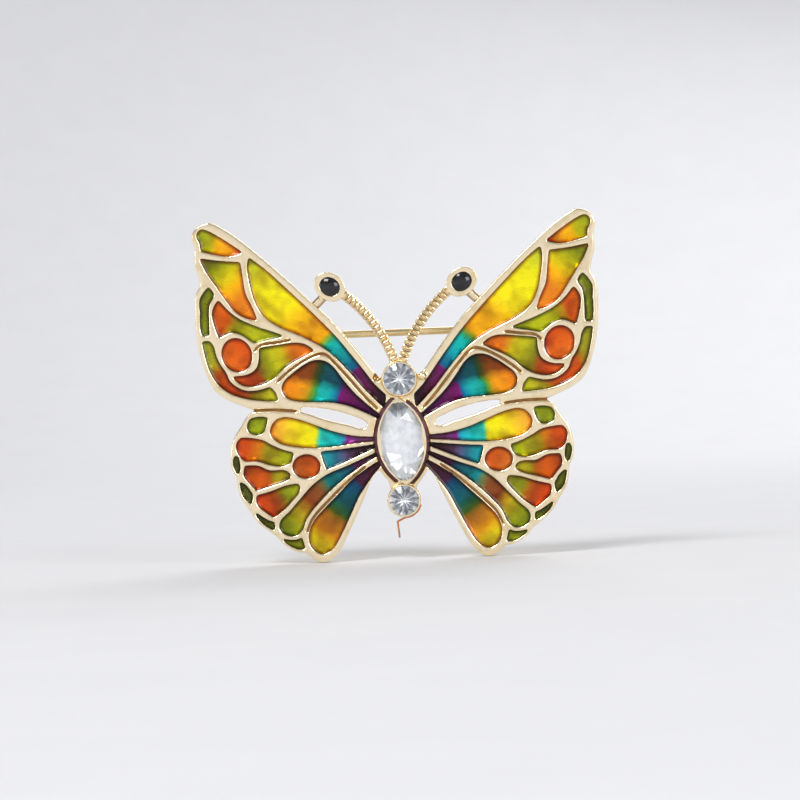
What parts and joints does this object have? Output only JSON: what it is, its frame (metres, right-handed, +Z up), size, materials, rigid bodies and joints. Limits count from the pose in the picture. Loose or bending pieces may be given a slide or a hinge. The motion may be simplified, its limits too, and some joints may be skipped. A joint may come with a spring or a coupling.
{
  "type": "brooch",
  "caption": "Butterfly brooch with enamelled cells in a gold-plated frame, clear stones for the body, and a hinged pin stem with a turning safety catch.",
  "frame": {"origin": "on the axis of the pin stem, at the middle of the brooch", "axes": "+X along the pin stem towards its point, +Y out of the back towards the wearer, +Z up towards the wing tips; the front faces -Y"},
  "size_m": [0.0546, 0.0078, 0.0465],
  "materials": {
    "gold_casting": "pale gold plate on zinc alloy, polished",
    "gold_findings": "gold plate, satin",
    "pin_wire": "pale gold plate on drawn steel wire",
    "copper_wire": "bare thin wire",
    "enamel_amber": "clear yellow to amber drip enamel, purple at the root",
    "enamel_orange": "clear orange-red drip enamel",
    "enamel_green": "clear green drip enamel",
    "enamel_teal": "clear teal drip enamel, purple at the root",
    "clear_stone": "cut clear glass with a foiled back",
    "black_stone": "black domed enamel"
  },
  "bodies": {
    "brooch": {"cast_frame": "gold_casting", "left_tip_cell": "enamel_amber", "right_tip_cell": "enamel_amber", "left_kite_cell": "enamel_amber", "right_kite_cell": "enamel_amber", "left_long_cell": "enamel_amber", "right_long_cell": "enamel_amber", "left_fish_cell": "enamel_green", "right_fish_cell": "enamel_green", "left_spot_cell": "enamel_orange", "right_spot_cell": "enamel_orange", "left_sickle_cell": "enamel_green", "right_sickle_cell": "enamel_green", "left_edge_cell": "enamel_green", "right_edge_cell": "enamel_green", "left_crescent_cell": "enamel_green", "right_crescent_cell": "enamel_green", "left_lobe_cell": "enamel_teal", "right_lobe_cell": "enamel_teal", "left_hind_top_cell": "enamel_amber", "right_hind_top_cell": "enamel_amber", "left_hind_outer_cell": "enamel_orange", "right_hind_outer_cell": "enamel_orange", "left_hind_fan_cell": "enamel_orange", "right_hind_fan_cell": "enamel_orange", "left_hind_spot_cell": "enamel_orange", "right_hind_spot_cell": "enamel_orange", "left_hind_petal_cell": "enamel_teal", "right_hind_petal_cell": "enamel_teal", "left_hind_wedge_cell": "enamel_orange", "right_hind_wedge_cell": "enamel_orange", "left_hind_long_cell": "enamel_teal", "right_hind_long_cell": "enamel_teal", "left_hind_drop_cell": "enamel_amber", "right_hind_drop_cell": "enamel_amber", "left_scallop_cells": "enamel_green", "right_scallop_cells": "enamel_green", "body_surround": "enamel_teal", "head_cup": "gold_casting", "head_stone": "clear_stone", "body_cup": "gold_casting", "body_stone": "clear_stone", "tail_cup": "gold_casting", "tail_stone": "clear_stone", "left_antenna": "gold_findings", "right_antenna": "gold_findings", "left_oval_cup": "gold_casting", "right_oval_cup": "gold_casting", "left_black_oval": "black_stone", "right_black_oval": "black_stone", "tail_wire": "copper_wire", "hinge_bracket": "gold_findings", "hinge_rivet": "pin_wire", "catch_housing": "gold_findings"},
    "pin_stem": {"pin_stem": "pin_wire"},
    "catch_lever": {"catch_lever": "gold_findings"}
  },
  "joints": [
    {"name": "pin_hinge", "type": "hinge", "parent": "brooch", "child": "pin_stem", "pos_m": [-0.0135, 0, 0], "axis": [0, 0, 1], "range_deg": [0, 100]},
    {"name": "catch_turn", "type": "hinge", "parent": "brooch", "child": "catch_lever", "pos_m": [0.012, 0, 0], "axis": [1, 0, 0], "range_deg": [0, 100]}
  ]
}
